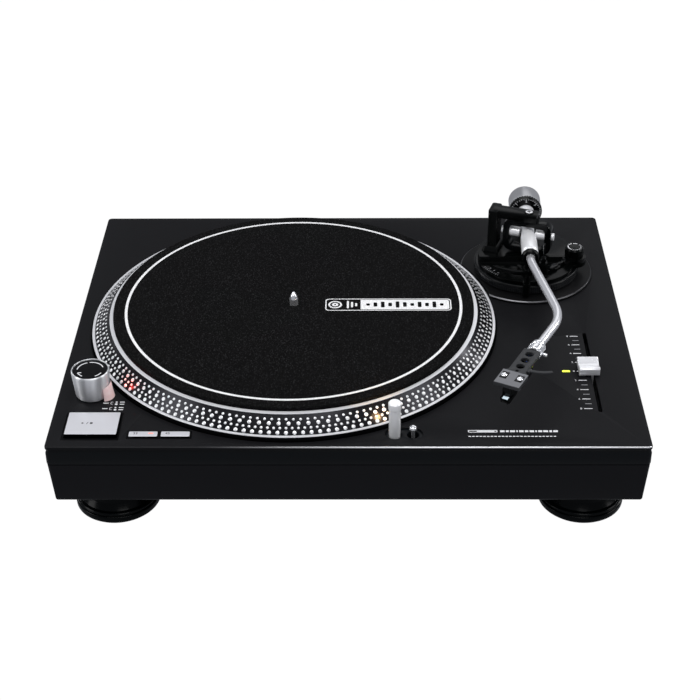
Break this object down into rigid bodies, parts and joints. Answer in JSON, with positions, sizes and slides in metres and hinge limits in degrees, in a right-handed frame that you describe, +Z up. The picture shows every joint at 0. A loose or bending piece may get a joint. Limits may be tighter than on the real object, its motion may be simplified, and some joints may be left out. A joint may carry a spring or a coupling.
{
  "type": "turntable record player",
  "caption": "Direct-drive record player with a black case, a dotted platter and slipmat, an S-shaped tonearm, a pitch fader and a target light.",
  "frame": {"origin": "centre of the footprint, on the floor under the feet", "axes": "+X to the user's right, the longest side; +Y to the back; +Z up"},
  "size_m": [0.45, 0.352, 0.1371],
  "materials": {
    "black_metal": "semi-matt black",
    "black_plastic": "satin black",
    "board_green": "circuit board",
    "brass": "plain",
    "case_black": "fine textured black",
    "chrome": "polished",
    "copper_coil": "enamelled winding wire",
    "deck_black": "satin black powder coat",
    "felt": "heathered black felt",
    "foot_rubber": "satin black rubber",
    "gloss_black": "gloss black",
    "lamp_lens": "frosted pink lens",
    "lead_red": "wire insulation",
    "magnet": "sintered",
    "platter_metal": "black anodised, with polished rims",
    "silver_metal": "satin silver",
    "silver_plastic": "satin silver",
    "steel": "bright steel",
    "weight_metal": "turned, satin"
  },
  "bodies": {
    "root": {"top_panel": "deck_black", "upper_chassis": "case_black", "bottom_case": "case_black", "foot_front_left": "foot_rubber", "foot_front_right": "foot_rubber", "foot_rear_left": "foot_rubber", "foot_rear_right": "foot_rubber", "foot_screws": "steel", "bearing_housing": "brass", "motor_board": "board_green", "motor_stator": "magnet", "motor_coils": "copper_coil", "main_board": "board_green", "power_transformer": "magnet", "terminal_panel": "black_plastic", "rca_jacks": "brass", "power_inlet": "gloss_black", "strobe_lamp": "lamp_lens", "start_button_frame": "black_plastic", "speed_button_frame": "black_plastic", "light_socket": "black_plastic", "pitch_fader_body": "steel", "tonearm_disc": "deck_black", "tonearm_sleeve": "black_metal"},
    "platter": {"platter": "platter_metal", "rotor_cup": "steel", "rotor_magnet": "magnet", "spindle": "chrome"},
    "slipmat": {"slipmat": "felt"},
    "power_knob": {"power_knob": "chrome"},
    "start_button": {"start_stop_button": "silver_plastic"},
    "speed_33": {"speed_button_33": "silver_plastic"},
    "speed_45": {"speed_button_45": "silver_plastic"},
    "target_light": {"target_light_tube": "chrome"},
    "light_button": {"light_button": "chrome"},
    "pitch_fader": {"fader_cap": "silver_plastic"},
    "line_switch": {"line_switch": "gloss_black"},
    "height_ring": {"height_ring": "black_metal"},
    "arm_base": {"arm_board": "black_metal", "gimbal_bracket": "black_metal", "arm_rest": "black_plastic"},
    "lock_lever": {"height_lock_lever": "black_metal"},
    "anti_skate": {"anti_skate_knob": "black_plastic"},
    "cue_lever": {"cue_lever": "black_metal"},
    "arm_lifter": {"arm_lifter": "black_metal"},
    "arm_clip": {"arm_clip": "black_plastic"},
    "gimbal": {"gimbal_ring": "black_metal", "pitch_pivots": "chrome"},
    "arm": {"arm_barrel": "silver_metal", "arm_tube": "chrome", "headshell": "black_metal", "headshell_screws": "chrome", "finger_lift": "black_metal", "cartridge": "black_plastic", "stylus": "gloss_black", "lead_wires": "lead_red"},
    "collar": {"headshell_collar": "chrome"},
    "weight_sleeve": {"weight_sleeve": "brass"},
    "counterweight": {"counterweight": "weight_metal"},
    "force_ring": {"force_ring": "black_plastic"}
  },
  "joints": [
    {"name": "platter_spin", "type": "hinge", "parent": "root", "child": "platter", "pos_m": [-0.046, -0.0025, 0.08], "axis": [0, 0, -1], "continuous": true},
    {"name": "slipmat_spin", "type": "hinge", "parent": "platter", "child": "slipmat", "pos_m": [-0.046, -0.0025, 0.0944], "axis": [0, 0, -1], "continuous": true},
    {"name": "power_turn", "type": "hinge", "parent": "root", "child": "power_knob", "pos_m": [-0.1984, -0.107, 0.09], "axis": [0, 0, -1], "range_deg": [0, 45]},
    {"name": "start_press", "type": "slide", "parent": "root", "child": "start_button", "axis": [0, 0, -1], "range_m": [0, 0.0015], "stiffness_N_per_m": 400, "springref_m": -0.0005},
    {"name": "speed_33_press", "type": "slide", "parent": "root", "child": "speed_33", "axis": [0, 0, -1], "range_m": [0, 0.0008], "stiffness_N_per_m": 300, "springref_m": -0.0003},
    {"name": "speed_45_press", "type": "slide", "parent": "root", "child": "speed_45", "axis": [0, 0, -1], "range_m": [0, 0.0008], "stiffness_N_per_m": 300, "springref_m": -0.0003},
    {"name": "light_drop", "type": "slide", "parent": "root", "child": "target_light", "axis": [0, 0, -1], "range_m": [0, 0.026]},
    {"name": "light_button_press", "type": "slide", "parent": "root", "child": "light_button", "axis": [0, 0, -1], "range_m": [0, 0.0025], "stiffness_N_per_m": 200, "springref_m": -0.001},
    {"name": "pitch_slide", "type": "slide", "parent": "root", "child": "pitch_fader", "axis": [0, -1, 0], "range_m": [-0.05, 0.05]},
    {"name": "line_select", "type": "slide", "parent": "root", "child": "line_switch", "axis": [1, 0, 0], "range_m": [-0.003, 0.003]},
    {"name": "height_turn", "type": "hinge", "parent": "root", "child": "height_ring", "pos_m": [0.1525, 0.08, 0.086], "axis": [0, 0, 1], "range_deg": [0, 240]},
    {"name": "height_lift", "type": "slide", "parent": "root", "child": "arm_base", "axis": [0, 0, 1], "range_m": [0, 0.006]},
    {"name": "lock_turn", "type": "hinge", "parent": "arm_base", "child": "lock_lever", "pos_m": [0.14639, 0.06096, 0.094], "axis": [0, 0, -1], "range_deg": [0, 35]},
    {"name": "anti_skate_turn", "type": "hinge", "parent": "arm_base", "child": "anti_skate", "pos_m": [0.193, 0.076, 0.102], "axis": [0, 0, -1], "range_deg": [0, 270]},
    {"name": "cue_raise", "type": "hinge", "parent": "arm_base", "child": "cue_lever", "pos_m": [0.184, 0.0686, 0.0962], "axis": [-0.682, 0.7314, 0], "range_deg": [0, 30]},
    {"name": "lifter_rise", "type": "slide", "parent": "arm_base", "child": "arm_lifter", "axis": [0, 0, 1], "range_m": [0, 0.0055]},
    {"name": "clip_close", "type": "hinge", "parent": "arm_base", "child": "arm_clip", "pos_m": [0.16063, 0.02672, 0.1216], "axis": [-0.0314, -0.9995, 0], "range_deg": [0, 80]},
    {"name": "arm_swing", "type": "hinge", "parent": "arm_base", "child": "gimbal", "pos_m": [0.1525, 0.08, 0.117], "axis": [0, 0, -1], "range_deg": [0, 46]},
    {"name": "arm_tilt", "type": "hinge", "parent": "gimbal", "child": "arm", "pos_m": [0.1525, 0.08, 0.117], "axis": [-0.9461, 0.3239, 0], "range_deg": [-0.5, 5]},
    {"name": "collar_turn", "type": "hinge", "parent": "arm", "child": "collar", "pos_m": [0.145, -0.098, 0.117], "axis": [-0.454, -0.891, 0], "range_deg": [0, 30]},
    {"name": "weight_slide", "type": "slide", "parent": "arm", "child": "weight_sleeve", "axis": [0.0314, 0.9995, 0], "range_m": [-0.004, 0.004]},
    {"name": "weight_turn", "type": "hinge", "parent": "weight_sleeve", "child": "counterweight", "pos_m": [0.1525, 0.08, 0.117], "axis": [0.0314, 0.9995, 0], "range_deg": [-720, 720]},
    {"name": "force_dial_turn", "type": "hinge", "parent": "weight_sleeve", "child": "force_ring", "pos_m": [0.1525, 0.08, 0.117], "axis": [0.0314, 0.9995, 0], "range_deg": [-180, 180]}
  ],
  "couplings": [
    {"joint": "height_turn", "follows": "height_lift", "rad_per_m": 698.13},
    {"joint": "cue_raise", "follows": "lifter_rise", "rad_per_m": 95.199},
    {"joint": "weight_turn", "follows": "weight_slide", "rad_per_m": 3141.5}
  ]
}
